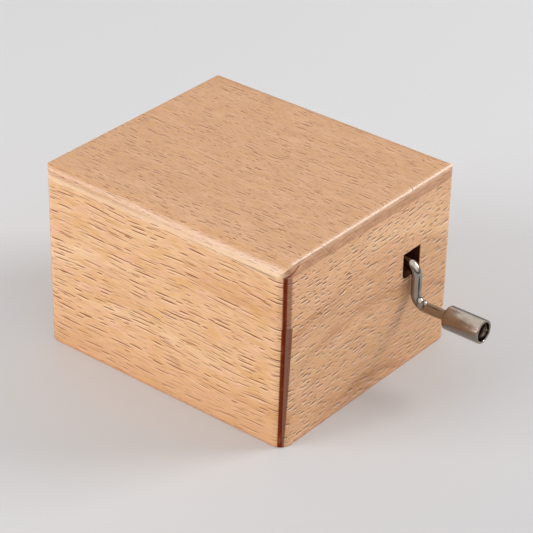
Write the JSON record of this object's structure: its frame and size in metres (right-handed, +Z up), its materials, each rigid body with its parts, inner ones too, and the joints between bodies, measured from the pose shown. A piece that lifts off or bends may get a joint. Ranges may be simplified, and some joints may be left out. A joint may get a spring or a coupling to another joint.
{
  "type": "music box",
  "caption": "Small wooden box with a hinged lid, rounded edges and a bent-wire side crank that turns a pinned cylinder against a steel comb through a worm and wheel.",
  "frame": {"origin": "centre of the case's flat underside, on the surface it stands on", "axes": "+X to the side with the crank, +Y to the hinged back, +Z up"},
  "size_m": [0.0879, 0.0608, 0.045],
  "materials": {
    "beech": "fine sanded beech under a thin matt wax",
    "nickel": "bright nickel plate, lightly brushed",
    "steel": "ground spring steel",
    "brass": "drawn and lightly polished",
    "zinc": "die-cast zinc, tumbled",
    "lead": "dull grey lead",
    "nylon": "moulded off-white nylon"
  },
  "bodies": {
    "case": {"front_board": "beech", "right_board": "beech", "back_board": "beech", "left_board": "beech", "floor_board": "beech", "bedplate": "zinc", "comb": "steel", "comb_leads": "lead", "shaft_straps": "steel", "front_bracket": "steel", "hinge_leaves_lower": "brass"},
    "lid": {"lid_top_panel": "beech", "lid_front_rail": "beech", "lid_right_rail": "beech", "lid_back_rail": "beech", "lid_left_rail": "beech", "hinge_leaves_upper": "brass"},
    "crank": {"crank_wire": "nickel", "worm": "nylon"},
    "knob": {"crank_knob": "nickel"},
    "cylinder": {"cylinder_tube": "brass", "tune_pins": "steel", "front_plug": "nylon", "cylinder_arbor": "steel", "worm_wheel": "nylon"}
  },
  "joints": [
    {"name": "lid_open", "type": "hinge", "parent": "case", "child": "lid", "pos_m": [0, 0.0298, 0.02954], "axis": [-1, 0, 0], "range_deg": [0, 110]},
    {"name": "crank_spin", "type": "hinge", "parent": "case", "child": "crank", "pos_m": [0.034, 0.0143, 0.0261], "axis": [1, 0, 0], "continuous": true},
    {"name": "knob_spin", "type": "hinge", "parent": "crank", "child": "knob", "pos_m": [0.0443, 0.0143, 0.0165], "axis": [1, 0, 0], "continuous": true},
    {"name": "cylinder_spin", "type": "hinge", "parent": "case", "child": "cylinder", "pos_m": [0.00796, 0.0002, 0.0179], "axis": [0, 1, 0], "continuous": true}
  ],
  "couplings": [
    {"joint": "cylinder_spin", "follows": "crank_spin", "ratio": -0.041667}
  ]
}
